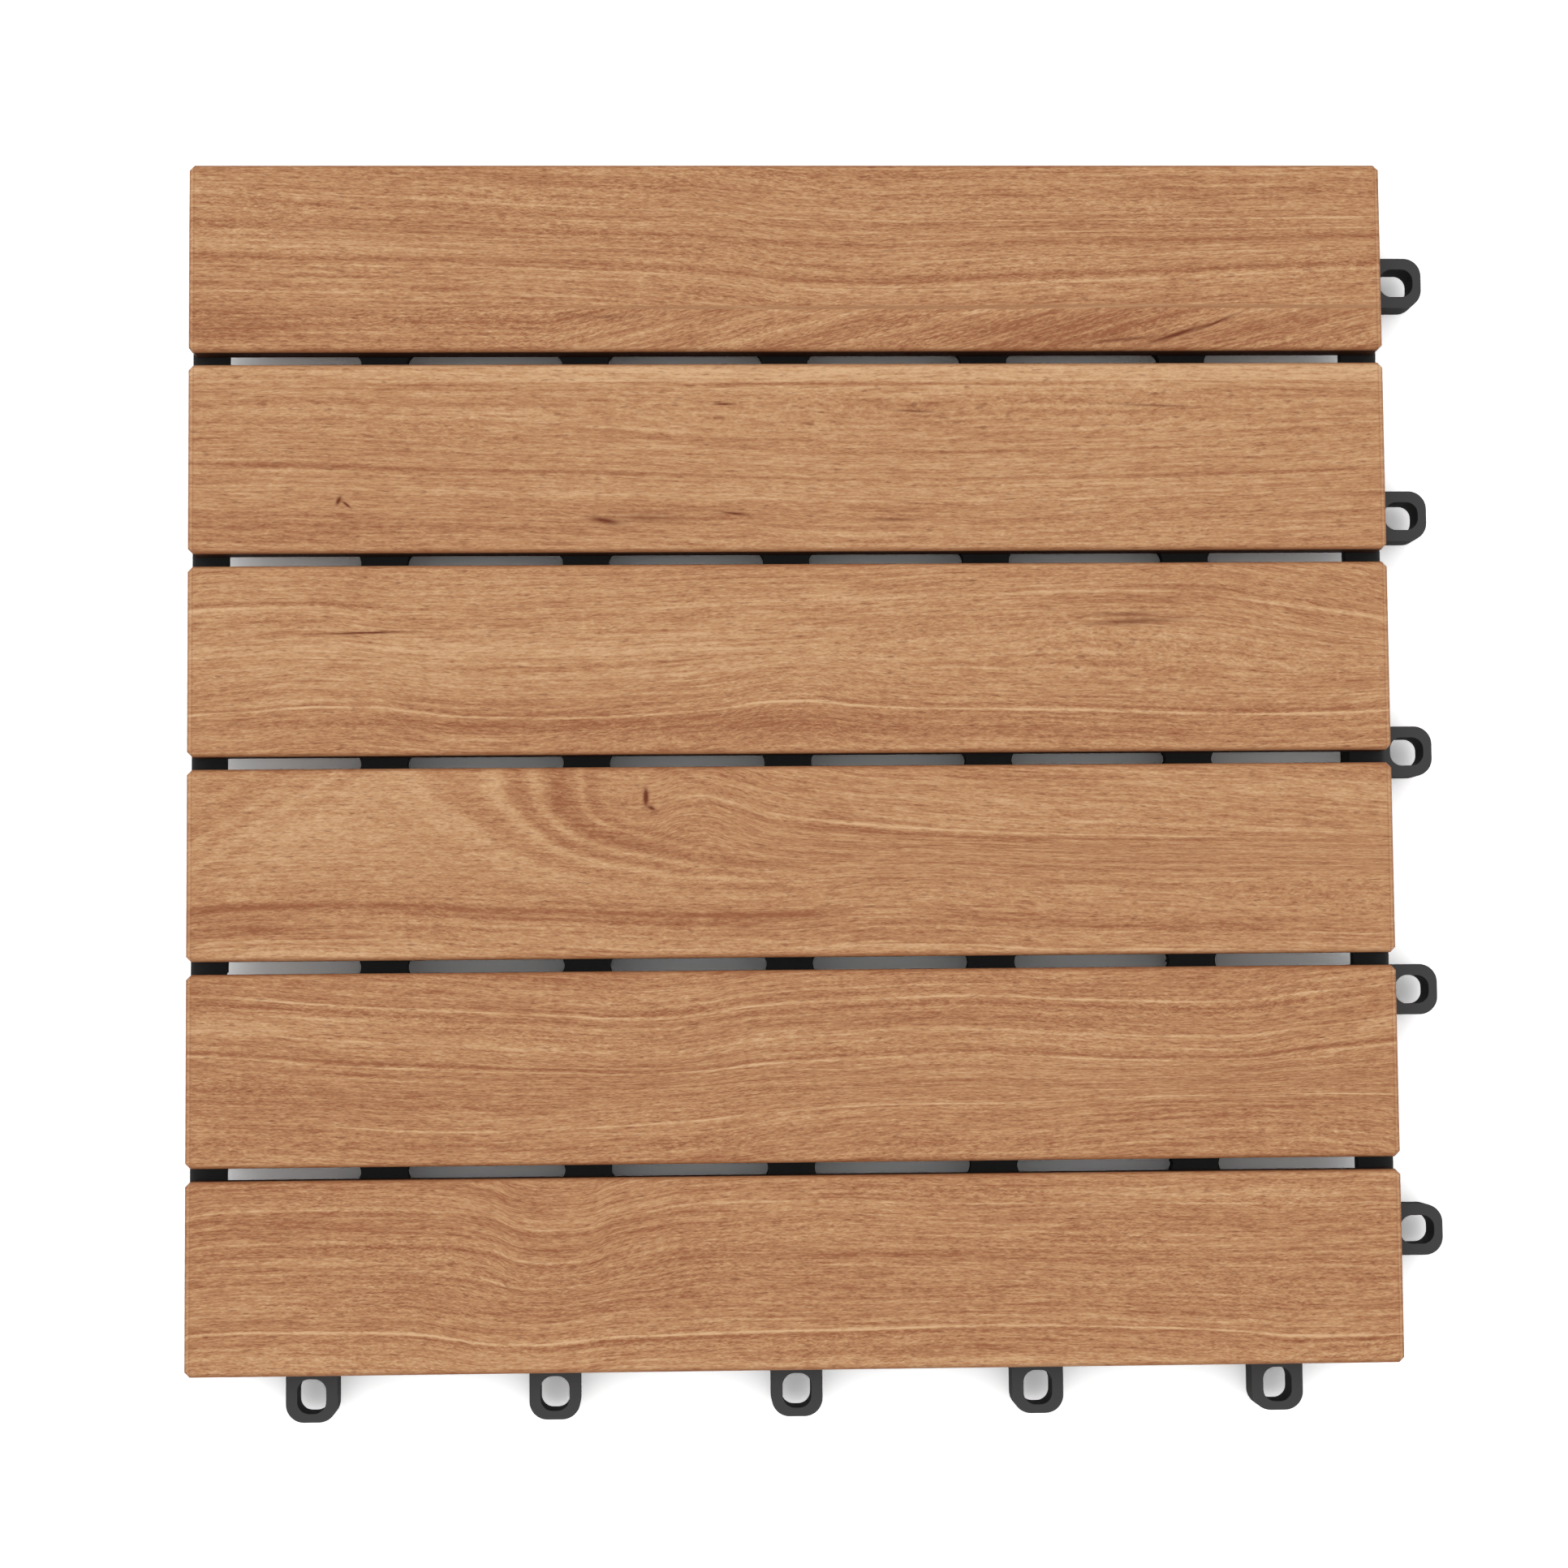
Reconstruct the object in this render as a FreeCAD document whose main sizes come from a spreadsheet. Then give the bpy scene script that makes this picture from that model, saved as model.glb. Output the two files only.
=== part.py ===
import FreeCAD, Part
import math
import os
import Sketcher

# Interlocking deck tile: six hardwood slats screwed down on a moulded grid.
# Millimetres. +X runs along the slats, +Y across them, +Z up.
# The origin is the centre of the underside, on the plane of the feet.

SLATS = 6
EYES = 5
COLUMNS = 6
MIDDLE_EYE = (EYES - 1) / 2
SHANK_SIDES = 6

# Driving sizes: name, value, meaning.
SIZES = [
    ("slat_length", 300.0, "length of each slat"),
    ("slat_width", 47.5, "width of each slat"),
    ("slat_thick", 8.0, "thickness of each slat"),
    ("slat_gap", 3.1, "drainage gap between two slats, and between two laid tiles"),
    ("slat_corner", 1.3, "corner cut off the slat in plan"),
    ("slat_round", 1.2, "rounding of the slat's top edges"),
    ("slat_ease", 0.5, "chamfer of the slat's bottom edges"),
    ("frame_inset", 0.2, "frame edge behind the slat ends"),
    ("frame_height", 16.0, "floor to the top of the grid"),
    ("frame_corner", 3.0, "outer corner radius of the rim in plan"),
    ("rim_width", 8.8, "width of the rim"),
    ("rim_skin", 2.0, "rim left over the peg recesses"),
    ("web_depth", 4.6, "depth of the rim and the lattice"),
    ("rib_width", 6.4, "width of each diagonal rib"),
    ("cell_corner", 3.0, "radius of the cell corners that show in the gaps"),
    ("lattice_shift", -0.9, "lattice centre along X"),
    ("eye_width", 12.65, "width of a coupling eye"),
    ("eye_reach", 12.4, "eye tip beyond the slat end"),
    ("eye_corner", 4.5, "radius at the tip of an eye"),
    ("eye_end_wall", 2.1, "wall at the tip of an eye"),
    ("eye_lift", 4.4, "eye above the floor"),
    ("eye_play", 0.2, "height left over an eye in its recess"),
    ("eye_hole_width", 7.14, "width of the hole in an eye"),
    ("eye_hole_length", 8.5, "length of the hole in an eye"),
    ("eye_hole_corner", 3.0, "corner radius of the hole in an eye"),
    ("side_shift", 1.75, "side eyes and side pegs off the centre line along Y"),
    ("recess_play", 0.4, "clearance around an eye in its recess"),
    ("peg_diameter", 6.6, "diameter of a coupling peg"),
    ("peg_play", 0.4, "clearance between a peg and the end wall of an eye"),
    ("peg_length", 8.6, "peg below the rim skin"),
    ("rim_foot_length", 14.0, "length of a foot under the rim"),
    ("rim_foot_width", 5.6, "width of a foot under the rim"),
    ("screw_diameter", 3.4, "diameter of a screw shank"),
    ("screw_play", 0.1, "clearance around a shank in the grid and the wood"),
    ("screw_bite", 5.5, "screw length in the wood"),
    ("screw_end_play", 0.5, "pilot hole beyond the end of the shank"),
    ("screw_head_diameter", 7.0, "diameter of a screw head"),
    ("screw_head_height", 2.2, "height of a screw head"),
]

# Sizes that follow from the driving ones.
DERIVED = [
    ("slat_pitch", "slat_width + slat_gap"),
    ("deck_width", f"slat_pitch * {SLATS} - slat_gap"),
    ("half_length", "slat_length / 2"),
    ("half_width", "deck_width / 2"),
    ("frame_x", "half_length - frame_inset"),
    ("frame_y", "half_width - frame_inset"),
    ("window_x", "frame_x - rim_width"),
    ("window_y", "frame_y - rim_width"),
    ("web_bottom", "frame_height - web_depth"),
    ("lattice_pitch", f"(slat_length + slat_gap) / {COLUMNS}"),
    ("lattice_diagonal", "sqrt(lattice_pitch ^ 2 + slat_pitch ^ 2)"),
    ("slope_sine", "slat_pitch / lattice_diagonal"),
    ("slope_cosine", "lattice_pitch / lattice_diagonal"),
    ("crossing_half_x", "rib_width / 2 / slope_sine"),
    ("crossing_half_y", "rib_width / 2 / slope_cosine"),
    ("cell_half_x", "lattice_pitch / 2 - crossing_half_x"),
    ("cell_half_y", "slat_pitch / 2 - crossing_half_y"),
    ("cell_round_x", "cell_half_x - cell_corner / slope_sine"),
    ("eye_pitch_x", f"slat_length / {EYES}"),
    ("eye_pitch_y", f"deck_width / {EYES}"),
    ("eye_top", "frame_height - rim_skin - eye_play"),
    ("eye_height", "eye_top - eye_lift"),
    ("recess_depth", "eye_reach - slat_gap + recess_play"),
    ("peg_inset", "eye_reach - eye_end_wall - slat_gap - peg_play - peg_diameter / 2"),
    ("skin_bottom", "frame_height - rim_skin"),
    ("first_slat_y", "slat_pitch / 2 - half_width - slat_gap / 2"),
    ("screw_spread", f"lattice_pitch * {(COLUMNS - 1) / 2}"),
    ("shank_radius", "screw_diameter / 2"),
    ("shank_hole_radius", "shank_radius + screw_play"),
]


def fill_sheet(doc):
    """Writes the driving sizes, then the derived ones, each under its own alias."""
    sheet = doc.addObject("Spreadsheet::Sheet", "Sizes")
    rows = [(alias, str(value), note) for alias, value, note in SIZES]
    rows += [(alias, "=" + formula, "follows from the sizes above") for alias, formula in DERIVED]
    for row, (alias, content, note) in enumerate(rows, start=1):
        sheet.set(f"A{row}", note)
        sheet.set(f"B{row}", content)
        sheet.setAlias(f"B{row}", alias)
    doc.recompute()
    return sheet


def bind(item, path, formula):
    """Sets one property of an object from the sheet."""
    item.setExpression(path, named(formula))


def named(formula):
    """Points each alias in a formula at the sheet."""
    aliases = {alias for alias, *_ in SIZES + DERIVED}
    words = formula.replace("(", " ( ").replace(")", " ) ").split()
    return " ".join(f"<<Sizes>>.{word}" if word in aliases else word for word in words)


def worth(item, formula):
    """The present value of a formula, to draw the geometry near its final place."""
    return float(item.evalExpression(named(formula)))


def origin_feature(body, role):
    return next(feature for feature in body.Origin.OriginFeatures if feature.Role == role)


def sketch_at(body, name, height):
    """A sketch parallel to the floor at a height given by a formula."""
    sketch = body.newObject("Sketcher::SketchObject", name)
    sketch.AttachmentSupport = [(origin_feature(body, "XY_Plane"), "")]
    sketch.MapMode = "FlatFace"
    bind(sketch, "AttachmentOffset.Base.z", height)
    return sketch


def pin_point(sketch, geometry, end, name, x, y):
    """Fixes one point of the sketch at formulas in X and Y."""
    for kind, label, formula in (("DistanceX", "x", x), ("DistanceY", "y", y)):
        value = worth(sketch, formula)
        index = sketch.addConstraint(Sketcher.Constraint(kind, -1, 1, geometry, end, value))
        sketch.renameConstraint(index, f"{name}_{label}")
        bind(sketch, f"Constraints.{name}_{label}", formula)


def set_radius(sketch, geometry, name, formula):
    index = sketch.addConstraint(Sketcher.Constraint("Radius", geometry, worth(sketch, formula)))
    sketch.renameConstraint(index, name)
    bind(sketch, f"Constraints.{name}", formula)


def draw_circle(sketch, name, x, y, radius):
    centre = FreeCAD.Vector(worth(sketch, x), worth(sketch, y), 0)
    circle = Part.Circle(centre, FreeCAD.Vector(0, 0, 1), worth(sketch, radius))
    geometry = sketch.addGeometry(circle, False)
    pin_point(sketch, geometry, 3, name, x, y)
    set_radius(sketch, geometry, f"{name}_radius", radius)


def tangent_normal(start, end, start_radius, end_radius):
    """Unit vector from both centres to the line that touches both circles on their right."""
    along = end - start
    length = along.Length
    along = along / length
    across = FreeCAD.Vector(along.y, -along.x, 0)
    lean = (start_radius - end_radius) / length
    return across * math.sqrt(1 - lean * lean) + along * lean


def draw_outline(sketch, name, corners):
    """Closed convex outline, counter-clockwise. A corner is (x, y) where it is sharp,
    or (x, y, radius) with the centre and radius of the arc that rounds it."""
    count = len(corners)
    centres = [FreeCAD.Vector(worth(sketch, c[0]), worth(sketch, c[1]), 0) for c in corners]
    radii = [worth(sketch, c[2]) if len(c) > 2 else 0.0 for c in corners]
    normals = []
    for i in range(count):
        j = (i + 1) % count
        normals.append(tangent_normal(centres[i], centres[j], radii[i], radii[j]))

    lines = []
    for i in range(count):
        j = (i + 1) % count
        start = centres[i] + normals[i] * radii[i]
        end = centres[j] + normals[i] * radii[j]
        lines.append(sketch.addGeometry(Part.LineSegment(start, end), False))

    for i, corner in enumerate(corners):
        before, after = lines[i - 1], lines[i]
        label = f"{name}_{i + 1}"
        if radii[i]:
            circle = Part.Circle(centres[i], FreeCAD.Vector(0, 0, 1), radii[i])
            first = math.atan2(normals[i - 1].y, normals[i - 1].x)
            last = math.atan2(normals[i].y, normals[i].x)
            arc = sketch.addGeometry(Part.ArcOfCircle(circle, first, last), False)
            sketch.addConstraint(Sketcher.Constraint("Tangent", before, 2, arc, 1))
            sketch.addConstraint(Sketcher.Constraint("Tangent", arc, 2, after, 1))
            pin_point(sketch, arc, 3, label, corner[0], corner[1])
            set_radius(sketch, arc, f"{label}_radius", corner[2])
        else:
            sketch.addConstraint(Sketcher.Constraint("Coincident", before, 2, after, 1))
            pin_point(sketch, after, 1, label, corner[0], corner[1])


def box_corners(left, bottom, right, top):
    return [(left, bottom), (right, bottom), (right, top), (left, top)]


def rounded_box(left, bottom, right, top, radius):
    """Corners of a box with all four corners rounded."""
    return [
        (f"{left} + {radius}", f"{bottom} + {radius}", radius),
        (f"{right} - {radius}", f"{bottom} + {radius}", radius),
        (f"{right} - {radius}", f"{top} - {radius}", radius),
        (f"{left} + {radius}", f"{top} - {radius}", radius),
    ]


def lozenge(x, y, half_x, half_y):
    return [(f"{x} + {half_x}", y), (x, f"{y} + {half_y}"), (f"{x} - {half_x}", y), (x, f"{y} - {half_y}")]


def shank_hole(x, y):
    """Corners of the hole that a threaded shank fills, as a plain six-sided hole."""
    corners = []
    for i in range(SHANK_SIDES):
        angle = 2 * math.pi * i / SHANK_SIDES
        across, along = round(math.cos(angle), 9), round(math.sin(angle), 9)
        corners.append((f"{x} + shank_hole_radius * ( {across} )", f"{y} + shank_hole_radius * ( {along} )"))
    return corners


def pad(body, sketch, name, length, downwards=False):
    feature = body.newObject("PartDesign::Pad", name)
    feature.Profile = sketch
    feature.Reversed = downwards
    bind(feature, "Length", length)
    return feature


def pocket(body, sketch, name, length, upwards=False):
    feature = body.newObject("PartDesign::Pocket", name)
    feature.Profile = sketch
    feature.Reversed = upwards
    bind(feature, "Length", length)
    return feature


def repeat(body, originals, name, along_x=None, along_y=None):
    """Pattern of features. Each direction is (copies, spacing)."""
    steps = []
    if along_x:
        steps.append(("X_Axis", along_x))
    if along_y:
        steps.append(("Y_Axis", along_y))
    pattern = body.newObject("PartDesign::LinearPattern", name)
    pattern.Originals = originals
    for suffix, (axis, (copies, spacing)) in zip(("", "2"), steps):
        setattr(pattern, f"Direction{suffix}", (origin_feature(body, axis), [""]))
        setattr(pattern, f"Mode{suffix}", "Spacing")
        setattr(pattern, f"Occurrences{suffix}", copies)
        setattr(pattern, f"Spacings{suffix}", [-1.0] * (copies - 1))
        bind(pattern, f"Offset{suffix}", spacing)
    body.Tip = pattern
    return pattern


def cell_corners(x, y, rounded_sides):
    """One lozenge cell of the lattice, with its sides along the diagonal ribs."""
    corners = lozenge(x, y, "cell_half_x", "cell_half_y")
    if rounded_sides:
        corners[0] = (f"{x} + cell_round_x", y, "cell_corner")
        corners[2] = (f"{x} - cell_round_x", y, "cell_corner")
    return corners


def lattice(body):
    """The ribbed floor of the grid: a plate pierced by two families of lozenge cells."""
    plate = sketch_at(body, "plate_outline", "web_bottom")
    draw_outline(plate, "plate", box_corners("0 - window_x", "0 - window_y", "window_x", "window_y"))
    pad(body, plate, "plate", "web_depth")
    recesses(body, "plate")

    hole = sketch_at(body, "screw_hole_outline", "frame_height")
    draw_outline(hole, "hole", shank_hole("lattice_shift - screw_spread", "first_slat_y"))
    screw_hole = pocket(body, hole, "screw_hole", "web_depth")
    repeat(body, [screw_hole], "screw_holes", (2, "2 * screw_spread"), (SLATS, "slat_pitch"))

    first_node_x = f"lattice_shift - {COLUMNS / 2} * lattice_pitch"
    first_node_y = f"0 - {SLATS / 2} * slat_pitch"
    families = [
        ("gap_cell", f"{first_node_x} + lattice_pitch / 2", first_node_y, True, COLUMNS, SLATS + 1),
        ("slat_cell", first_node_x, f"{first_node_y} + slat_pitch / 2", False, COLUMNS + 1, SLATS),
    ]
    for name, x, y, rounded_sides, columns, rows in families:
        sketch = sketch_at(body, f"{name}_outline", "frame_height")
        draw_outline(sketch, name, cell_corners(x, y, rounded_sides))
        cell = pocket(body, sketch, name, "web_depth")
        repeat(body, [cell], f"{name}s", (columns, "lattice_pitch"), (rows, "slat_pitch"))


def rim(body):
    """The frame around the lattice."""
    sketch = sketch_at(body, "rim_outline", "web_bottom")
    outer = rounded_box("0 - frame_x", "0 - frame_y", "frame_x", "frame_y", "frame_corner")
    draw_outline(sketch, "outer", outer)
    draw_outline(sketch, "inner", box_corners("0 - window_x", "0 - window_y", "window_x", "window_y"))
    pad(body, sketch, "rim", "web_depth")


def lattice_feet(body):
    """Feet that carry the crossings of the ribs down to the floor."""
    groups = [
        ("gap", COLUMNS - 1, SLATS - 1),
        ("slat", COLUMNS - 2, SLATS),
    ]
    for place, columns, rows in groups:
        x = f"lattice_shift - {(columns - 1) / 2} * lattice_pitch"
        y = f"0 - {(rows - 1) / 2} * slat_pitch"
        sketch = sketch_at(body, f"{place}_foot_outline", "0")
        draw_outline(sketch, "foot", lozenge(x, y, "crossing_half_x", "crossing_half_y"))
        foot = pad(body, sketch, f"{place}_foot", "web_bottom")
        repeat(body, [foot], f"{place}_feet", (columns, "lattice_pitch"), (rows, "slat_pitch"))


def rim_feet(body):
    """Feet under the rim: one in each corner and one between each two eyes."""
    rim_x = "frame_x - rim_width / 2"
    rim_y = "frame_y - rim_width / 2"
    corner_x = "frame_x - rim_width / 2 - rim_foot_length / 2 + rim_foot_width / 2"
    gaps = EYES - 1
    from_middle = (gaps - 1) / 2
    start_x = f"0 - {from_middle} * eye_pitch_x"
    start_y = f"side_shift - {from_middle} * eye_pitch_y"
    along, across = "rim_foot_length / 2", "rim_foot_width / 2"
    groups = [
        ("corner", f"0 - ( {corner_x} )", f"0 - ( {rim_y} )", along, across,
         (2, f"2 * ( {corner_x} )"), (2, f"2 * ( {rim_y} )")),
        ("side", f"0 - ( {rim_x} )", start_y, across, along,
         (2, f"2 * ( {rim_x} )"), (gaps, "eye_pitch_y")),
        ("end", start_x, f"0 - ( {rim_y} )", along, across,
         (gaps, "eye_pitch_x"), (2, f"2 * ( {rim_y} )")),
    ]
    for place, x, y, half_x, half_y, along_x, along_y in groups:
        sketch = sketch_at(body, f"{place}_foot_outline", "0")
        corners = box_corners(
            f"{x} - {half_x}", f"{y} - {half_y}", f"{x} + {half_x}", f"{y} + {half_y}"
        )
        draw_outline(sketch, "foot", corners)
        foot = pad(body, sketch, f"{place}_foot", "web_bottom")
        repeat(body, [foot], f"{place}_feet", along_x, along_y)


def swap(corners):
    """The same outline turned a quarter turn clockwise: (x, y) becomes (y, -x)."""
    return [(c[1], f"0 - ( {c[0]} )", *c[2:]) for c in corners]


def eyes(body):
    """Coupling eyes along the right side and the front side."""
    sides = [
        ("side", "half_length", "window_x", f"side_shift - {MIDDLE_EYE} * eye_pitch_y",
         {"along_y": (EYES, "eye_pitch_y")}, False),
        ("front", "half_width", "window_y", f"0 - {MIDDLE_EYE} * eye_pitch_x",
         {"along_x": (EYES, "eye_pitch_x")}, True),
    ]
    for side, edge, root, middle, pattern, turned in sides:
        low, high = f"{middle} - eye_width / 2", f"{middle} + eye_width / 2"
        tip = f"{edge} + eye_reach"
        outline = [
            (root, low),
            (f"{tip} - eye_corner", f"{low} + eye_corner", "eye_corner"),
            (f"{tip} - eye_corner", f"{high} - eye_corner", "eye_corner"),
            (root, high),
        ]
        hole_end = f"{tip} - eye_end_wall"
        hole = rounded_box(
            f"{hole_end} - eye_hole_length", f"{middle} - eye_hole_width / 2",
            hole_end, f"{middle} + eye_hole_width / 2", "eye_hole_corner",
        )
        arm_sketch = sketch_at(body, f"{side}_eye_outline", "eye_lift")
        draw_outline(arm_sketch, "arm", swap(outline) if turned else outline)
        arm = pad(body, arm_sketch, f"{side}_eye", "eye_height")
        hole_sketch = sketch_at(body, f"{side}_eye_hole_outline", "eye_top")
        draw_outline(hole_sketch, "hole", swap(hole) if turned else hole)
        eye_hole = pocket(body, hole_sketch, f"{side}_eye_hole", "eye_height")
        repeat(body, [arm, eye_hole], f"{side}_eyes", **pattern)


# The pegs: side, slat edge, rim face, middle of the first peg, pattern, turned.
PEG_SIDES = [
    ("side", "half_length", "frame_x", f"side_shift - {MIDDLE_EYE} * eye_pitch_y",
     {"along_y": (EYES, "eye_pitch_y")}, False),
    ("back", "half_width", "frame_y", f"0 - {MIDDLE_EYE} * eye_pitch_x",
     {"along_x": (EYES, "eye_pitch_x")}, True),
]


def recesses(body, part):
    """Recesses from below that take the eyes of the tiles on the left and at the back."""
    for side, edge, face, middle, pattern, turned in PEG_SIDES:
        low = f"{middle} - eye_width / 2 - recess_play"
        high = f"{middle} + eye_width / 2 + recess_play"
        corners = box_corners(f"0 - {face}", low, f"0 - {edge} + recess_depth", high)
        name = f"{part}_{side}_recess"
        sketch = sketch_at(body, f"{name}_outline", "web_bottom")
        draw_outline(sketch, "recess", swap(corners) if turned else corners)
        cut = pocket(body, sketch, name, "skin_bottom - web_bottom", upwards=True)
        repeat(body, [cut], f"{name}es", **pattern)


def pegs(body):
    """Coupling pegs that hang in the recesses."""
    for side, edge, face, middle, pattern, turned in PEG_SIDES:
        centre = [(f"0 - {edge} + peg_inset", middle)]
        (x, y), = swap(centre) if turned else centre
        sketch = sketch_at(body, f"{side}_peg_outline", "skin_bottom")
        draw_circle(sketch, "peg", x, y, "peg_diameter / 2")
        peg = pad(body, sketch, f"{side}_peg", "peg_length", downwards=True)
        repeat(body, [peg], f"{side}_pegs", **pattern)


def make_base_grid(doc):
    """The moulded grid, one piece with its eyes, pegs and feet."""
    regions = [
        ("grid_lattice", [lattice]),
        ("grid_rim", [rim, eyes, lambda body: recesses(body, "rim"), pegs]),
        ("grid_feet", [lattice_feet, rim_feet]),
    ]
    bodies = []
    for name, steps in regions:
        body = doc.addObject("PartDesign::Body", name)
        for step in steps:
            step(body)
        bodies.append(body)
    grid = doc.addObject("Part::MultiFuse", "base_grid")
    grid.Shapes = bodies
    grid.Refine = True
    return grid


SCREW_SIDES = [
    ("left", "lattice_shift - screw_spread"),
    ("right", "lattice_shift + screw_spread"),
]


def level_edges(shape, height):
    """Names of the edges that lie at one height."""
    names = []
    for number, edge in enumerate(shape.Edges, start=1):
        box = edge.BoundBox
        if abs(box.ZMin - height) < 1e-6 and abs(box.ZMax - height) < 1e-6:
            names.append(f"Edge{number}")
    return names


def make_slat(doc, sheet, number):
    """One slat with cut corners, rounded top edges and two pilot holes from below."""
    body = doc.addObject("PartDesign::Body", f"slat_{number}")
    bind(body, "Placement.Base.y", f"0 - first_slat_y - {number - 1} * slat_pitch")
    bind(body, "Placement.Base.z", "frame_height")

    outline = sketch_at(body, f"slat_{number}_outline", "0")
    far_x, near_x = "slat_length / 2", "slat_length / 2 - slat_corner"
    far_y, near_y = "slat_width / 2", "slat_width / 2 - slat_corner"
    corners = [
        (near_x, f"0 - {far_y}"), (far_x, f"0 - ( {near_y} )"),
        (far_x, near_y), (near_x, far_y),
        (f"0 - ( {near_x} )", far_y), (f"0 - {far_x}", near_y),
        (f"0 - {far_x}", f"0 - ( {near_y} )"), (f"0 - ( {near_x} )", f"0 - {far_y}"),
    ]
    draw_outline(outline, "edge", corners)
    board = pad(body, outline, f"slat_{number}_board", "slat_thick")
    doc.recompute()

    rounding = body.newObject("PartDesign::Fillet", f"slat_{number}_rounding")
    top = worth(sheet, "slat_thick")
    rounding.Base = (board, level_edges(board.Shape, top))
    bind(rounding, "Radius", "slat_round")
    doc.recompute()

    easing = body.newObject("PartDesign::Chamfer", f"slat_{number}_easing")
    easing.Base = (rounding, level_edges(rounding.Shape, 0.0))
    bind(easing, "Size", "slat_ease")

    pilots = sketch_at(body, f"slat_{number}_pilot_outline", "0")
    for side, x in SCREW_SIDES:
        draw_outline(pilots, side, shank_hole(x, "0"))
    depth = "screw_bite + screw_end_play"
    body.Tip = pocket(body, pilots, f"slat_{number}_pilots", depth, upwards=True)
    return body


def make_screws(doc, number):
    """The two screws that hold one slat, driven up through the grid."""
    screws = []
    for side, x in SCREW_SIDES:
        name = f"slat_{number}_{side}_screw"
        head = doc.addObject("Part::Cylinder", f"{name}_head")
        bind(head, "Radius", "screw_head_diameter / 2")
        bind(head, "Height", "screw_head_height")
        bind(head, "Placement.Base.z", "web_bottom - screw_head_height")
        shank = doc.addObject("Part::Prism", f"{name}_shank")
        shank.Polygon = SHANK_SIDES
        bind(shank, "Circumradius", "shank_radius")
        bind(shank, "Height", "web_depth + screw_bite")
        bind(shank, "Placement.Base.z", "web_bottom")
        screw = doc.addObject("Part::MultiFuse", name)
        screw.Shapes = [head, shank]
        bind(screw, "Placement.Base.x", x)
        bind(screw, "Placement.Base.y", f"0 - first_slat_y - {number - 1} * slat_pitch")
        screws.append(screw)
    group = doc.addObject("Part::Compound", f"slat_{number}_screws")
    group.Links = screws
    return group


def check(doc, pieces):
    """Stops if any object has failed or any piece has no sound shape."""
    for item in doc.Objects:
        if "Invalid" in item.State or "Error" in item.State:
            raise RuntimeError(f"{item.Name} failed: {item.State}")
    for piece in pieces:
        if piece.Shape.isNull() or not piece.Shape.isValid():
            raise RuntimeError(f"{piece.Label} has no valid shape")


def main():
    doc = FreeCAD.newDocument("deck_tile")
    sheet = fill_sheet(doc)
    pieces = [make_base_grid(doc)]
    for number in range(1, SLATS + 1):
        pieces.append(make_slat(doc, sheet, number))
        pieces.append(make_screws(doc, number))
    doc.recompute()
    check(doc, pieces)

    os.makedirs("parts", exist_ok=True)
    for piece in pieces:
        piece.Shape.exportStep(f"parts/{piece.Label}.step")
        print(f"{piece.Label}: {len(piece.Shape.Solids)} solids, {piece.Shape.Volume:.0f} mm3")


main()
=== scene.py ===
import math

import bmesh
import bpy
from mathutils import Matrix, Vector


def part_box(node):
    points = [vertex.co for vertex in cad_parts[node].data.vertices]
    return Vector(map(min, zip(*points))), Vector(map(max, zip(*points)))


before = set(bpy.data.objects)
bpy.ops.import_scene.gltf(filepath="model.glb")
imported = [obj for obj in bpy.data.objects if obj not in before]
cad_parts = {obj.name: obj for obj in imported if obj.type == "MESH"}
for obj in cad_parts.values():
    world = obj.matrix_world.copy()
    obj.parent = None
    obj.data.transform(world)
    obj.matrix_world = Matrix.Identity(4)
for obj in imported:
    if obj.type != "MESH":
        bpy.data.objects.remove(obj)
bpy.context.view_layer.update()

MM = 0.001
SLATS = 6


# Shader maths

class Tree:
    """A material's node tree. Any node is made by one method, and sockets are wrapped for maths."""

    def __init__(self, name):
        self.material = bpy.data.materials.new(name)
        self.material.use_nodes = True
        self.tree = self.material.node_tree
        self.shader = next(n for n in self.tree.nodes if n.type == "BSDF_PRINCIPLED")

    def node(self, kind, settings=None, **inputs):
        made = self.tree.nodes.new(kind)
        for key, value in (settings or {}).items():
            setattr(made, key, value)
        for key, value in inputs.items():
            socket = made.inputs[int(key[1:])] if key[0] == "_" else made.inputs[key.replace("_", " ")]
            self.feed(socket, value)
        return made

    def feed(self, socket, value):
        if isinstance(value, Socket):
            self.tree.links.new(value.socket, socket)
        else:
            socket.default_value = value

    def out(self, kind, settings=None, output=0, **inputs):
        return Socket(self, self.node(kind, settings, **inputs).outputs[output])


class Socket:
    """One output, with operators that add Math nodes."""

    def __init__(self, tree, socket):
        self.tree = tree
        self.socket = socket

    def math(self, operation, *others, clamp=False):
        inputs = {f"_{i}": value for i, value in enumerate((self, *others))}
        return self.tree.out("ShaderNodeMath", {"operation": operation, "use_clamp": clamp}, **inputs)

    def __add__(self, other):
        return self.math("ADD", other)

    def __sub__(self, other):
        return self.math("SUBTRACT", other)

    def __rsub__(self, other):
        return (self * -1) + other

    def __mul__(self, other):
        return self.math("MULTIPLY", other)

    def __truediv__(self, other):
        return self.math("DIVIDE", other)

    def __abs__(self):
        return self.math("ABSOLUTE")

    def __pow__(self, other):
        return self.math("POWER", other)

    def clamp(self):
        return self.math("ADD", 0.0, clamp=True)

    def bell(self, width):
        """1 where the value is zero, falling smoothly to 0 within about two widths."""
        return (self * self * (-1 / width ** 2)).math("EXPONENT")

    def step(self, low, high):
        """0 below low, 1 above high, smooth between."""
        settings = {"interpolation_type": "SMOOTHSTEP", "clamp": True}
        return self.tree.out("ShaderNodeMapRange", settings, Value=self, From_Min=low, From_Max=high)


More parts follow.
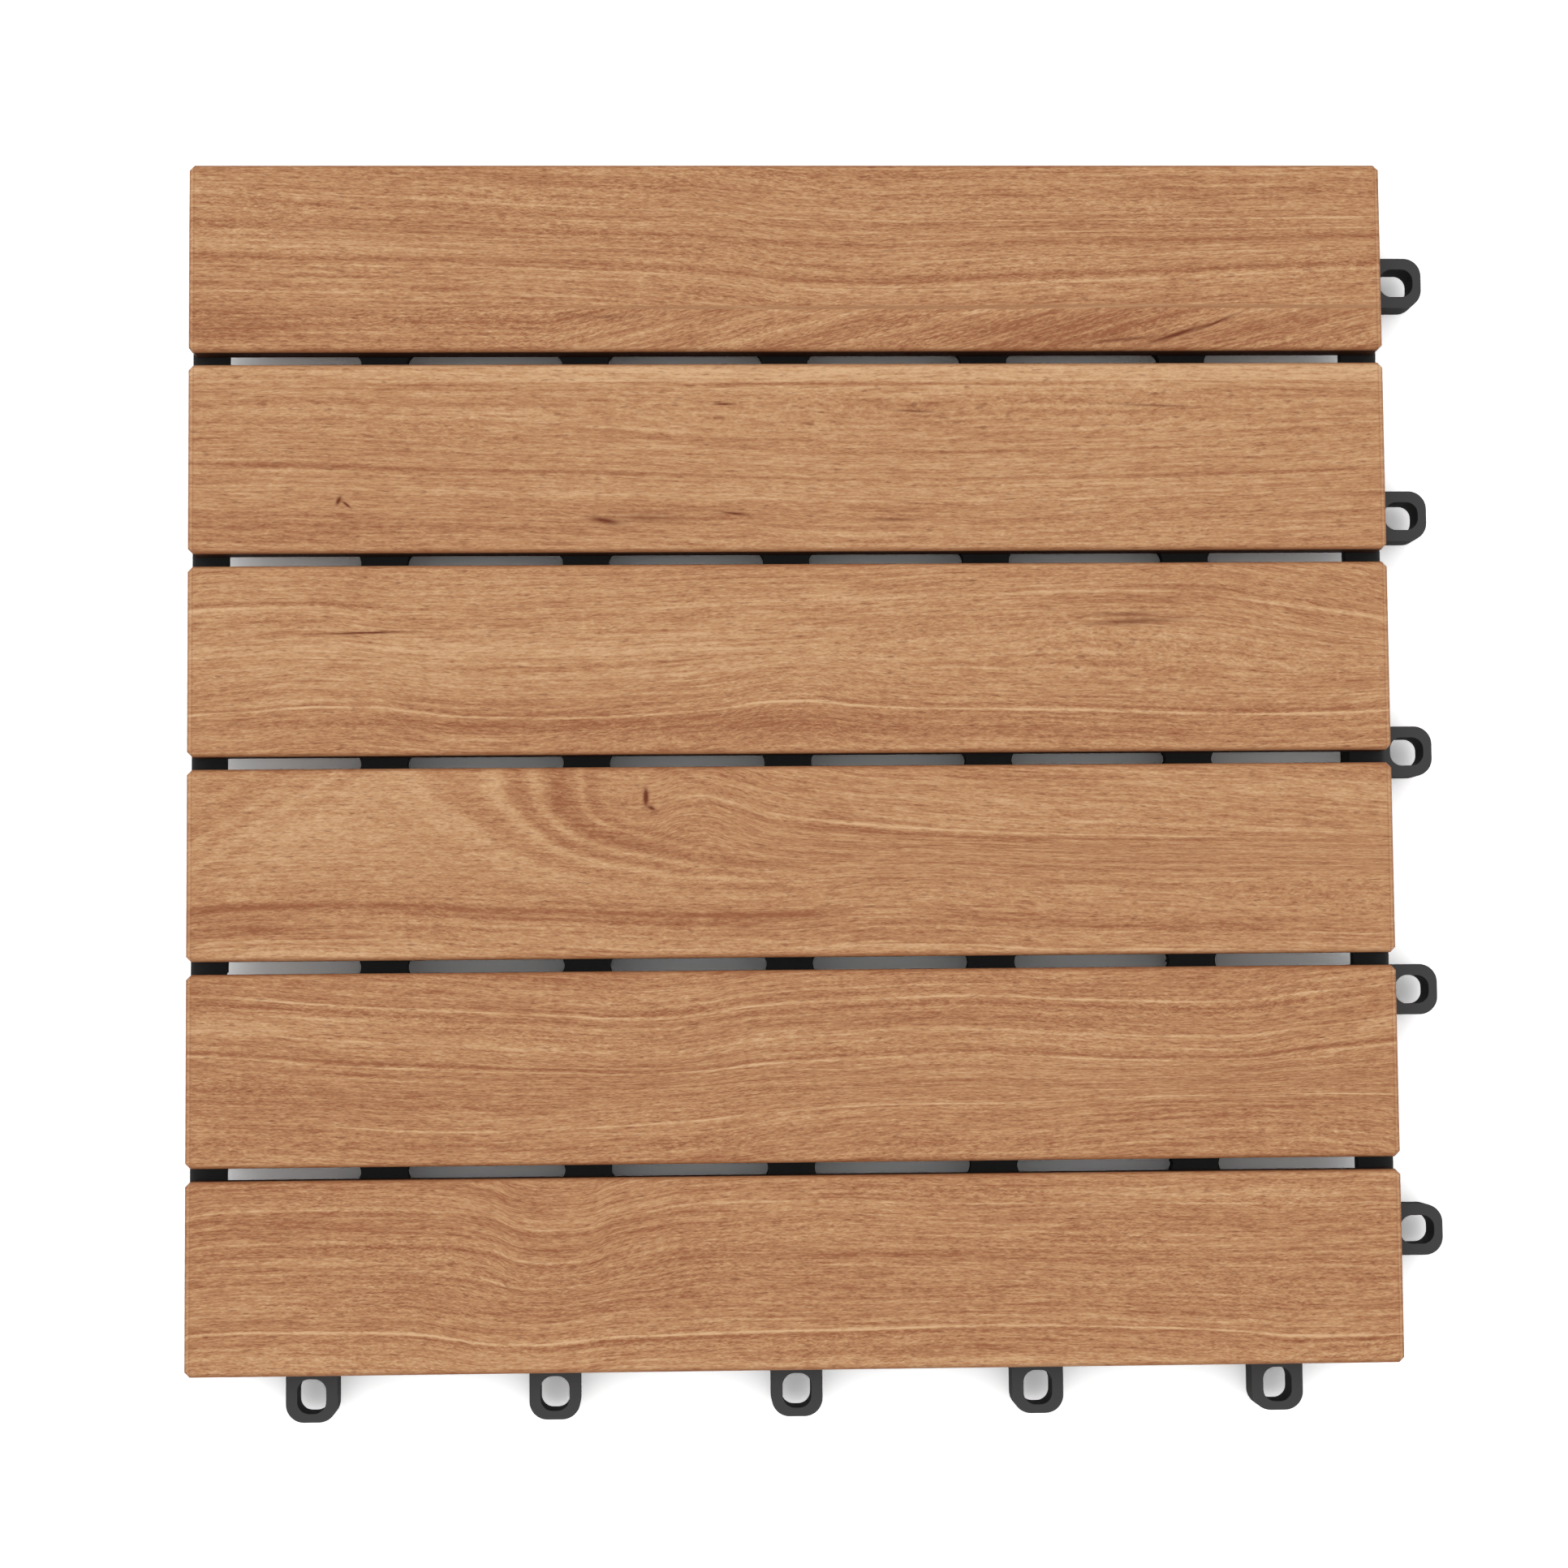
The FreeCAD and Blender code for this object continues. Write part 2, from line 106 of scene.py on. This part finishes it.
def coordinates(tree):
    """Object coordinates in millimetres, as three sockets."""
    place = tree.node("ShaderNodeTexCoord").outputs["Object"]
    split = tree.node("ShaderNodeSeparateXYZ", None, Vector=Socket(tree, place))
    return [Socket(tree, split.outputs[i]) * 1000 for i in range(3)]


def vector(tree, x, y, z):
    return tree.out("ShaderNodeCombineXYZ", None, _0=x, _1=y, _2=z)


def noise(tree, x, y, z, detail=2.0, roughness=0.5):
    """Noise about zero, from -1 to 1, over coordinates that are already scaled."""
    made = tree.out("ShaderNodeTexNoise", {"noise_dimensions": "3D"}, Vector=vector(tree, x, y, z),
                    Scale=1.0, Detail=detail, Roughness=roughness)
    return (made - 0.5) * 2


def mix(tree, factor, first, second):
    settings = {"data_type": "RGBA", "blend_type": "MIX", "clamp_factor": True}
    return tree.out("ShaderNodeMix", settings, output=2, _0=factor, _6=first, _7=second)


def bump(tree, height, distance, strength=1.0):
    return tree.out("ShaderNodeBump", None, Height=height, Distance=distance, Strength=strength)


def srgb(red, green, blue):
    """Linear colour of a screen colour given from 0 to 255."""
    def linear(value):
        value /= 255
        return value / 12.92 if value <= 0.04045 else ((value + 0.055) / 1.055) ** 2.4
    return (linear(red), linear(green), linear(blue), 1.0)


# Wood

LIGHT = srgb(216, 175, 132)
MIDDLE = srgb(190, 140, 97)
DARK = srgb(149, 90, 56)
PORE = srgb(106, 50, 26)
STREAK = srgb(108, 46, 12)
# Painted shade for the walls of the gaps between the slats.
SHADED = srgb(52, 24, 13)

# Millimetres from a slat's middle to the dark line at its sawn ends, and half the width of that line and of
# the painted highlight beside it.
END_LINE = 148.7
LINE_WIDTH = 0.16

# Millimetres from a slat's centre line over which the painted shade on its rounded edges, then on its
# walls, grows darker.
ROUNDED_EDGE_SHADE = (22.4, 23.7)
GAP_WALL_SHADE = (23.3, 23.7)

# The heights between which the painted shade on the walls ends, in millimetres.
WALL_TOP = (22.4, 23.5)

# The knot of the fourth slat, along it and across it, and the sweep of the rings at its left.
KNOT_ALONG = -37.0
KNOT_ACROSS = 16.0
RING_SWEEP = [(-150, 25), (-102, 17), (-84, 12.6), (-56, 5.2), (-36, 0), (-15, -6.5), (10, -10), (150, -13)]

# The rings' bands: level, half width, strength.
RING_BANDS = [(-8.2, 0.8, 0.8), (-6.6, 0.8, 1.2), (-4.4, 1.4, -0.4), (-2.4, 0.8, 1.8), (-0.9, 1.0, -1.2),
              (0.9, 0.7, 1.6), (3.2, 1.9, -1.9), (5.8, 0.4, 1.0), (7.2, 0.9, -1.2)]

# The figure of each slat, from the back of the deck to the front, in millimetres.
# Along is from the slat's middle, and across is from its centre line.
# Back and front guide the grain of each half: how far a line has strayed since the left end.
# Turn: where the front guide gives way to the back one. Crisp: strength of the finest fibres.
# Crossing: in front of it the grain runs aslant. Sapwood: behind it the wood is lighter.
# Lines: level at the left end, half width, strength (light above zero), and where from and to.
# Shades, softly lighter or darker places: along, across, length, width, strength.
# Marks, small and dark: along, across, length, width, slope, strength.
FIGURES = [
    {"seed": 11.0, "tone": -0.5, "crisp": 1.2, "turn": (-3.0, 15.0), "crossing": -12.6,
     "back": [(-150, 0), (-96, -1.9), (-55, -4.4), (-25, -5.6), (-2, -7.9), (16, -8.4), (67, -8.6),
              (150, -8)],
     "front": [(-150, 0), (-76, -0.9), (-45, -1.9), (-15, -3.6), (16, -5.9), (67, -4.8), (108, -3.2),
               (150, -1.4)],
     "lines": [(17.1, 0.3, 2.1), (13.2, 0.25, 1.1), (9.6, 0.8, -1.4), (0.2, 0.9, -1.7), (-1.6, 0.3, 1.5),
               (-8.4, 0.3, 1.3), (5.0, 0.3, 0.9)],
     "shades": [(-142, -17, 22, 5, -1.9), (76, -18.5, 42, 4.5, -1.7), (-108, 1.5, 45, 3, 1.2),
                (-10, 20, 90, 3, -0.6)],
     "marks": [(97.8, -19.7, 7.0, 0.55, 0.32, 1.0), (108.0, -16.6, 5.0, 0.4, 0.4, 0.8),
               (84.0, -21.0, 9.0, 0.5, 0.1, 0.6), (-46.0, -15.0, 9.0, 0.5, 0.0, 0.35)]},
    {"seed": 23.0, "tone": -0.1, "crisp": 0.7, "turn": (4.0, 18.0), "sapwood": 19.0,
     "back": [(-150, 0), (0, -0.3), (150, -0.6)],
     "front": [(-150, 0), (-96, -1.4), (-55, -2.4), (-15, -3.6), (22, -4.7), (66, -4.2), (107, -3.4),
               (150, -2)],
     "lines": [(-1.1, 0.45, -1.8), (6.0, 0.5, -1.2, -20, 60), (18.8, 0.3, -2.0, -28, 75),
               (13.3, 0.4, -0.9, 60, 115), (-6.5, 0.3, 1.1), (-12.0, 0.6, -1.0, 40, 150)],
     "shades": [(-125, 21, 45, 2.2, -1.9), (50, 16.5, 100, 2.5, 0.8), (-110, -16, 60, 5, -1.3),
                (-15, -15.5, 40, 2, -0.9), (20, -8, 90, 5, 0.5)],
     "marks": [(-112.6, -10.6, 0.7, 0.9, 0.9, 1.0), (-110.6, -11.6, 1.1, 0.4, -0.7, 1.0),
               (-46.5, -15.9, 3.4, 0.7, -0.16, 1.0), (-36.0, -15.2, 9.0, 1.2, 0.0, 0.35),
               (-14.0, -14.2, 3.5, 0.35, -0.12, 0.9), (26.0, -15.9, 5.0, 0.4, 0.0, 0.5),
               (-16.4, 13.4, 2.4, 0.3, 0.0, 0.95), (31.0, 11.5, 5.0, 0.3, -0.04, 0.7),
               (92.0, 12.8, 9.0, 0.3, -0.03, 0.6)]},
    {"seed": 37.0, "tone": -0.2, "crisp": 0.85, "turn": (-8.0, 8.0),
     "back": [(-150, 0), (-122, 1.1), (-96, -0.2), (-15, 2), (40, 3.5), (86, 4), (120, 1), (150, -3.5)],
     "front": [(-150, 0), (-136, 0.7), (-110, 2), (-96, 0.9), (-76, -0.9), (-56, -1.3), (-36, -0.7),
               (-15, 1), (1, 2.5), (15, 1.4), (35, 0.5), (66, 0.2), (86, -0.4), (116, -1.2), (150, -0.4)],
     "lines": [(-13.3, 0.32, 3.4), (-12.2, 0.4, -1.2, 10, 150), (-1.0, 0.35, -1.2, -150, 0),
               (13.5, 0.45, -1.8, -150, -100), (12.2, 0.6, 1.3), (16.5, 0.8, -0.9, 40, 150),
               (14.0, 0.5, -1.2, 80, 150)],
     "shades": [(-60, -15.5, 110, 3.8, -1.7), (90, -16, 80, 4.5, -1.1), (-80, 3, 90, 4, 1.0),
                (92, 15, 18, 1.8, -1.5)],
     "marks": [(-106.0, 6.9, 9.0, 0.28, 0.02, 1.0), (86.0, 8.8, 10.0, 0.7, 0.04, 0.6),
               (84.0, 10.6, 8.0, 0.6, 0.0, 0.45)]},
    {"seed": 53.0, "tone": -0.35, "crisp": 0.8, "turn": (-6.0, 8.0), "rings": RING_BANDS,
     "back": [(-150, 0), (-60, -1), (-36, -2.3), (-26, 0), (-16, -1.7), (-4, -5), (25, -8.2), (65, -10.5),
              (85, -11.1), (150, -14.9)],
     "front": [(-150, 0), (-116, 1.9), (-76, 0.4), (-56, -0.2), (-30, -1.2), (-6, -1.4), (24, -0.4),
               (65, -1.8), (150, -2.5)],
     "lines": [(-12.0, 0.9, -2.7, -150, 10), (-13.8, 0.7, -1.7, -100, -10), (-16.0, 0.5, 1.1),
               (-20.5, 0.4, 1.5), (16.5, 0.35, 2.3, -30, 110), (14.8, 0.6, -1.2, 0, 110),
               (20.0, 0.5, 1.1, 30, 150)],
     "shades": [(-138, -14.5, 24, 3.5, -2.0), (25, -16.5, 140, 2.8, -1.2), (-120, -21.5, 38, 1.8, 1.6),
                (-116, 8, 34, 13, 1.0), (118, 15.5, 45, 3, 1.1), (62, -1.5, 45, 3.5, -0.6)],
     "marks": [(-36.6, 16.2, 0.6, 2.0, 0.0, 1.3), (-35.2, 13.4, 1.0, 0.5, -0.4, 1.0)]},
    {"seed": 71.0, "tone": -0.9, "crisp": 1.05, "turn": (-12.0, 2.0),
     "back": [(-150, 0), (-136, -0.7), (-116, -2.4), (-76, -4.7), (-56, -5.7), (-38, -6.7), (-26, -6),
              (-6, -3.3), (14, -2.3), (44, -1.5), (65, -2.4), (105, -3.5), (125, -1.7), (150, 0.6)],
     "front": [(-150, 0.8), (-116, 0.2), (-96, -1.2), (-76, -1.5), (-56, -0.9), (-36, 0.1), (-16, 1.4),
               (4, 3.3), (24, 4.6), (56, 4.9), (74, 6.6), (94, 7.8), (115, 7.9), (150, 6.2)],
     "lines": [(18.5, 0.3, 2.5), (16.8, 0.5, -1.4), (3.8, 0.3, 2.3), (4.9, 0.45, -1.7),
               (-13.9, 0.28, 2.5, -120, 150), (10.0, 0.4, 1.3), (-5.0, 0.8, -0.9, -150, 0),
               (21.5, 0.3, 1.1)],
     "shades": [(-10, 6, 140, 4.5, 0.8), (-122, 12, 34, 2.2, 0.9), (30, -12, 70, 4, 0.6),
                (-125, -10, 30, 2.5, -0.9)],
     "marks": []},
    {"seed": 89.0, "tone": -0.9, "crisp": 1.1, "turn": (-10.0, 2.0),
     "back": [(-150, -2.5), (-122, -1), (-96, -1.2), (-76, -3), (-66, -6.2), (-60, -6.5), (-46, -4),
              (-36, -2), (-16, 0), (44, -1), (150, -2)],
     "front": [(-150, -1.4), (-135, 0), (-100, -0.4), (-84, -2), (-66, -3.5), (-56, -3), (-44, -1.9),
               (-27, -1.4), (23, -0.6), (50, -0.1), (73, -0.6), (93, -1.4), (114, -2.8), (128, -3.7),
               (150, -3.5)],
     "lines": [(-13.2, 0.34, 3.4), (-14.2, 0.5, -1.4, -60, 150), (17.4, 0.3, 1.5),
               (9.6, 0.3, 1.1, -150, -30), (8.6, 0.5, -1.2, -110, -40), (2.0, 0.4, 0.9)],
     "shades": [(0, -22, 160, 2, 1.5), (-125, -18.5, 40, 2.2, 1.4), (96, 18.5, 52, 2, 1.7),
                (-135, -5, 22, 2.5, 1.1)],
     "marks": []},
]


def curve(tree, value, points):
    """A smooth curve through a few points, flat outside them."""
    heights = [height for _, height in points]
    start, length = points[0][0], points[-1][0] - points[0][0]
    low, span = min(heights) - 1, max(heights) - min(heights) + 2
    scaled = [((place - start) / length, (height - low) / span) for place, height in points]
    made = tree.node("ShaderNodeFloatCurve", None, Value=(value - start) / length)
    bend = made.mapping.curves[0]
    for point in scaled[1:-1]:
        bend.points.new(*point)
    bend.points[0].location = scaled[0]
    bend.points[-1].location = scaled[-1]
    made.mapping.update()
    return Socket(tree, made.outputs[0]) * span + low


def between(value, low, high, soft=9.0):
    """1 between two places, fading outside them."""
    return value.step(low - soft, low + soft) * (1 - value.step(high - soft, high + soft))


def rings(tree, x, v):
    """Growth rings round the knot of the fourth slat: down from the back edge, then away to the right."""
    depth = KNOT_ACROSS - v
    sweep = curve(tree, x, RING_SWEEP)
    lift = 1 - depth.step(4.0, 31.0)
    down = abs(depth + sweep * lift)
    left = (KNOT_ALONG - x).math("MAXIMUM", 0.0)
    side = (1 - (left * (-1 / 34.0)).math("EXPONENT")) * 27.0
    ring = (down ** 4 + side ** 4) ** 0.25
    beyond = depth + 6 - (left - 65.0) * 0.63
    outer = beyond * 0.28 + beyond.math("MINIMUM", 0.0) * 0.32 + 22.8
    return ring + (outer - ring) * left.step(52.0, 82.0)


def edges(tree, x, v, z, number, colour):
    """Painted light and shade: at the sawn ends a dark line, a painted highlight and painted shade, and
    painted shade on the rounded long edges and on the walls of the gaps, where less light comes.
    """
    end = abs(x) - END_LINE
    # The sawn ends: a dark line, then a painted highlight on the rounding and painted shade on its outer
    # part.
    colour = mix(tree, end.bell(LINE_WIDTH) * 0.35, colour, DARK)
    colour = mix(tree, (end - 0.45).bell(LINE_WIDTH) * 0.25, colour, LIGHT)
    colour = mix(tree, end.step(0.7, 1.1) * 0.5, colour, DARK)
    # Painted shade on the rounded long edges.
    colour = mix(tree, abs(v).step(*ROUNDED_EDGE_SHADE) * 0.55, colour, DARK)

    # The first and the last slat have a gap on one side only.
    inner = abs(v)
    if number == 1:
        inner = v * -1
    if number == SLATS:
        inner = v
    # Painted shade on the walls that face a gap, up to the rounded edge.
    shaded_wall = inner.step(*GAP_WALL_SHADE) * (1 - z.step(*WALL_TOP))
    return mix(tree, shaded_wall * 0.92, colour, SHADED)


def wood(name, centre, number, figure):
    """Oiled hardwood: long lines of grain, dashes and ripple, pores and the slat's own figure, with painted
    light and shade at its ends and edges.
    """
    tree = Tree(name)
    x, y, z = coordinates(tree)
    v = y - centre
    seed = figure["seed"]
    wander = noise(tree, x * 0.008 + seed, v * 0.03, z * 0.02 + seed, detail=2.0, roughness=0.45)
    sway = noise(tree, x * 0.03 + seed, v * 0.08, z * 0.05, detail=1.5)
    back, front = (curve(tree, x, figure[side]) for side in ("back", "front"))
    path = v - front - (back - front) * v.step(*figure["turn"])
    grain = path + wander * 2.2 + sway * 0.9
    if "rings" in figure:
        grown = KNOT_ACROSS - rings(tree, x, v) + wander * 1.2 + sway * 0.8
        near = (1 - x.step(-45.0, 25.0)) * v.step(-14.0, -6.0)
    if "crossing" in figure:
        slant = v - (x + 60.0).math("MAXIMUM", 0.0) * 0.24 + wander * 2.0
        grain = grain + (slant - grain) * (1 - (v + wander * 0.8 - figure["crossing"]).step(-0.5, 0.5))

    # Where the grain is interlocked, the fibres run in short waves.
    patch = noise(tree, x * 0.02 + seed, grain * 0.16 - seed, z * 0.1, detail=1.5).step(-0.15, 0.3)
    if "rings" in figure:
        patch = patch + (1 - patch) * near * 0.9
    turn = noise(tree, x * 0.12, grain * 0.8 + seed, z * 0.5, detail=1.0) * 7.0
    ripple = grain + (x * 3.3 + turn).math("SINE") * patch * 0.13
    lean = noise(tree, x * 0.10 - seed, v * 0.25, z * 0.2, detail=2.0) * 0.8

    # The fibres, from the longest to the shortest.
    bands = noise(tree, x * 0.006 - seed, grain * 0.20, z * 0.1, detail=2.0, roughness=0.7)
    threads = noise(tree, x * 0.010 + seed, grain * 0.75 + seed, z * 0.4, detail=3.0, roughness=0.8)
    if "rings" in figure:
        threads = threads * (1 - near * 0.7)
    lines = noise(tree, x * 0.05 - seed, grain * 1.3, z * 0.8, detail=2.0, roughness=0.8)
    dashes = noise(tree, x * 0.20 + seed, (grain + lean) * 1.1, z * 1.2, detail=3.0, roughness=1.0)
    pores = noise(tree, x * 0.30 + seed, grain * 1.7 + seed, z * 2.0, detail=1.0).step(0.15, 0.55)
    flecks = noise(tree, x * 0.55 + seed, ripple * 2.2, z * 2.0, detail=1.0, roughness=0.9)
    fibres = lines * (3.0 - patch * 1.2) + dashes * 4.2 + flecks * (patch + 2.4) * figure["crisp"]

    # The tone is light above zero and dark below it.
    tone = fibres + threads * 2.6 + bands * 1.2 + figure["tone"]
    for level, width, strength, *ends in figure["lines"]:
        stripe = (path - level + wander * 0.5).bell(width) * (lines * 1.2 + 1) * strength
        tone = tone + (stripe * between(x, *ends) if ends else stripe)
    for along, across, length, width, strength in figure["shades"]:
        tone = tone + (x - along).bell(length) * (v - across + wander).bell(width) * strength
    if "rings" in figure:
        right = x.step(-125.0, -90.0) * 0.6 + 0.4
        for level, width, strength in figure["rings"]:
            tone = tone + (grown - level + lines * 0.5).bell(width) * near * right * strength
    if "crossing" in figure:
        slants = noise(tree, x * 0.02, grain * 0.35, z * 0.1, detail=2.0, roughness=0.7)
        tone = tone + (slants * 2.3 - 0.3) * (1 - (v - figure["crossing"]).step(-0.8, 0.8))
    if "sapwood" in figure:
        tone = tone + (v - figure["sapwood"] + sway * 0.5).step(-0.2, 0.3) * 1.9

    colour = mix(tree, tone.step(-4.0, 0.8), DARK, MIDDLE)
    colour = mix(tree, tone.step(-0.6, 3.6), colour, LIGHT)
    colour = mix(tree, pores * 0.45, colour, PORE)
    for along, across, length, width, slope, strength in figure["marks"]:
        du = x - along
        shape = du.bell(length) * (v - across - du * slope + dashes * 0.35).bell(width)
        colour = mix(tree, (shape * (dashes * 0.8 + 1.2) * strength).clamp(), colour, STREAK)

    height = fibres * 0.35 + threads * 0.5 - pores * 0.6
    tree.feed(tree.shader.inputs["Base Color"], edges(tree, x, v, z, number, colour))
    tree.feed(tree.shader.inputs["Roughness"], (0.5 - tone * 0.02 + pores * 0.12).clamp())
    tree.feed(tree.shader.inputs["Normal"], bump(tree, height, 0.00004, 0.6))
    tree.shader.inputs["Specular IOR Level"].default_value = 0.25
    return tree.material


# Plastic and steel

# Millimetres over which the deck's cover, and the painted shade under it, ends, along X, along Y and in
# height.
DECK_SHADE_X = (148.5, 150.5)
DECK_SHADE_Y = (149.0, 151.0)
DECK_SHADE_HEIGHT = (6.0, 12.0)

# The height between the walls of the eyes and their tops, in millimetres; below it the plastic is painted
# in shade.
EYE_TOP = (13.2, 13.6)


def plastic(name):
    """Black moulded plastic with a fine grain, with painted shade everywhere but on the tops of the eyes.
    """
    tree = Tree(name)
    x, y, z = coordinates(tree)
    cloud = noise(tree, x * 0.05, y * 0.05, z * 0.05, detail=3.0)
    grain = noise(tree, x * 3.0, y * 3.0, z * 3.0, detail=2.0)
    shade = (cloud * 0.12 + grain * 0.10 + 0.5).clamp()
    under_deck_shade = (1 - abs(x).step(*DECK_SHADE_X)) * (1 - abs(y).step(*DECK_SHADE_Y)) * z.step(*DECK_SHADE_HEIGHT)
    shaded_wall = (1 - under_deck_shade) * (1 - z.step(*EYE_TOP))
    colour = mix(tree, shade, srgb(36, 36, 37), srgb(51, 50, 50))
    # Painted shade under the deck.
    colour = mix(tree, under_deck_shade * 0.9, colour, srgb(9, 9, 9))
    # Painted shade on the walls of the eyes and on everything else below their tops.
    tree.feed(tree.shader.inputs["Base Color"], mix(tree, shaded_wall * 0.9, colour, srgb(5, 5, 5)))
    tree.feed(tree.shader.inputs["Roughness"],
              (cloud * 0.06 + grain * 0.05 + (under_deck_shade + shaded_wall) * 0.25 + 0.52).clamp())
    tree.feed(tree.shader.inputs["Normal"], bump(tree, grain, 0.00002, 0.5))
    tree.shader.inputs["Specular IOR Level"].default_value = 0.5
    return tree.material


def steel(name):
    """Bright steel with turning marks and a slight stain."""
    tree = Tree(name)
    x, y, z = coordinates(tree)
    brushed = noise(tree, x * 2.0, y * 2.0, z * 14.0, detail=2.0)
    stain = noise(tree, x * 0.3, y * 0.3, z * 0.3, detail=2.0)
    tree.feed(tree.shader.inputs["Base Color"],
              mix(tree, (stain * 0.5 + 0.5).clamp(), srgb(176, 176, 174), srgb(205, 205, 203)))
    tree.feed(tree.shader.inputs["Roughness"], (brushed * 0.08 + stain * 0.05 + 0.3).clamp())
    tree.feed(tree.shader.inputs["Normal"], bump(tree, brushed, 0.00001, 0.4))
    tree.shader.inputs["Metallic"].default_value = 1.0
    return tree.material


def dress(node, material):
    """Puts one material in every slot of a CAD node."""
    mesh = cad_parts[node].data
    if not mesh.materials:
        mesh.materials.append(material)
    for i in range(len(mesh.materials)):
        mesh.materials[i] = material


for number, figure in enumerate(FIGURES, start=1):
    low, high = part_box(f"slat_{number}")
    centre = (low.y + high.y) / 2 / MM
    dress(f"slat_{number}", wood(f"oiled_hardwood_{number}", centre, number, figure))
dress("base_grid", plastic("base_plastic"))
screw_steel = steel("stainless_steel")
for number in range(1, SLATS + 1):
    dress(f"slat_{number}_screws", screw_steel)


# Floor, light and camera

# The floor's brightness to the camera and to the light, and half its side in metres.
FLOOR_SEEN = 1.85
FLOOR_BOUNCE = 0.75
FLOOR_HALF = 6.0


def floor_material():
    """Paper white. The camera sees it overexposed, so that only the shade near the tile shows."""
    tree = Tree("floor_white")
    seen = Socket(tree, tree.node("ShaderNodeLightPath").outputs["Is Camera Ray"])
    level = seen * (FLOOR_SEEN - FLOOR_BOUNCE) + FLOOR_BOUNCE
    paper = tree.node("ShaderNodeBsdfDiffuse", None, Color=vector(tree, level, level, level))
    output = next(n for n in tree.tree.nodes if n.type == "OUTPUT_MATERIAL")
    tree.tree.links.new(paper.outputs["BSDF"], output.inputs["Surface"])
    return tree.material


def make_floor():
    shape = bmesh.new()
    bmesh.ops.create_grid(shape, x_segments=1, y_segments=1, size=FLOOR_HALF)
    mesh = bpy.data.meshes.new("floor")
    shape.to_mesh(mesh)
    shape.free()
    mesh.materials.append(floor_material())
    floor = bpy.data.objects.new("floor", mesh)
    bpy.context.scene.collection.objects.link(floor)


class Sky(Tree):
    """The world's node tree, with the same methods as a material's."""

    def __init__(self, name):
        self.world = bpy.data.worlds.new(name)
        self.world.use_nodes = True
        self.tree = self.world.node_tree
        self.shader = next(n for n in self.tree.nodes if n.type == "BACKGROUND")


# Light of the band over the deck and of the rest, the band's middle, its edge and its lean.
BAND = 1.17
DIM = 0.12
BAND_MIDDLE = 0.06
BAND_EDGE = (0.55, 0.95)
BAND_LEAN = -0.12


def studio():
    """A soft tent of light from left to right over the deck, dim towards the front and the back."""
    sky = Sky("studio")
    place = sky.node("ShaderNodeTexCoord").outputs["Generated"]
    split = sky.node("ShaderNodeSeparateXYZ", None, Vector=Socket(sky, place))
    x, y = (Socket(sky, split.outputs[i]) for i in range(2))
    band = 1 - abs(y - BAND_MIDDLE).step(*BAND_EDGE)
    level = (band * (BAND - DIM) + DIM) * (x * BAND_LEAN + 1)
    sky.shader.inputs["Color"].default_value = (1.0, 1.0, 1.0, 1.0)
    sky.feed(sky.shader.inputs["Strength"], level)
    bpy.context.scene.world = sky.world


# The camera of the photo: place in metres, turn in degrees, then its lens.
CAMERA_PLACE = (-0.03157, -0.05521, 0.84777)
CAMERA_TURN = (4.239, -2.006, -0.505)
SENSOR_WIDTH = 36.0
FOCAL_LENGTH = 76.286
SHIFT = -0.030
CLIP_START = 0.01


def make_camera():
    """The camera at the photo's angle."""
    lens = bpy.data.cameras.new("camera")
    lens.sensor_width = SENSOR_WIDTH
    lens.lens = FOCAL_LENGTH
    lens.shift_y = SHIFT
    lens.clip_start = CLIP_START
    camera = bpy.data.objects.new("camera", lens)
    camera.location = CAMERA_PLACE
    camera.rotation_euler = tuple(math.radians(angle) for angle in CAMERA_TURN)
    bpy.context.scene.collection.objects.link(camera)
    bpy.context.scene.camera = camera


make_floor()
studio()
make_camera()
bpy.context.scene.view_settings.view_transform = "Standard"
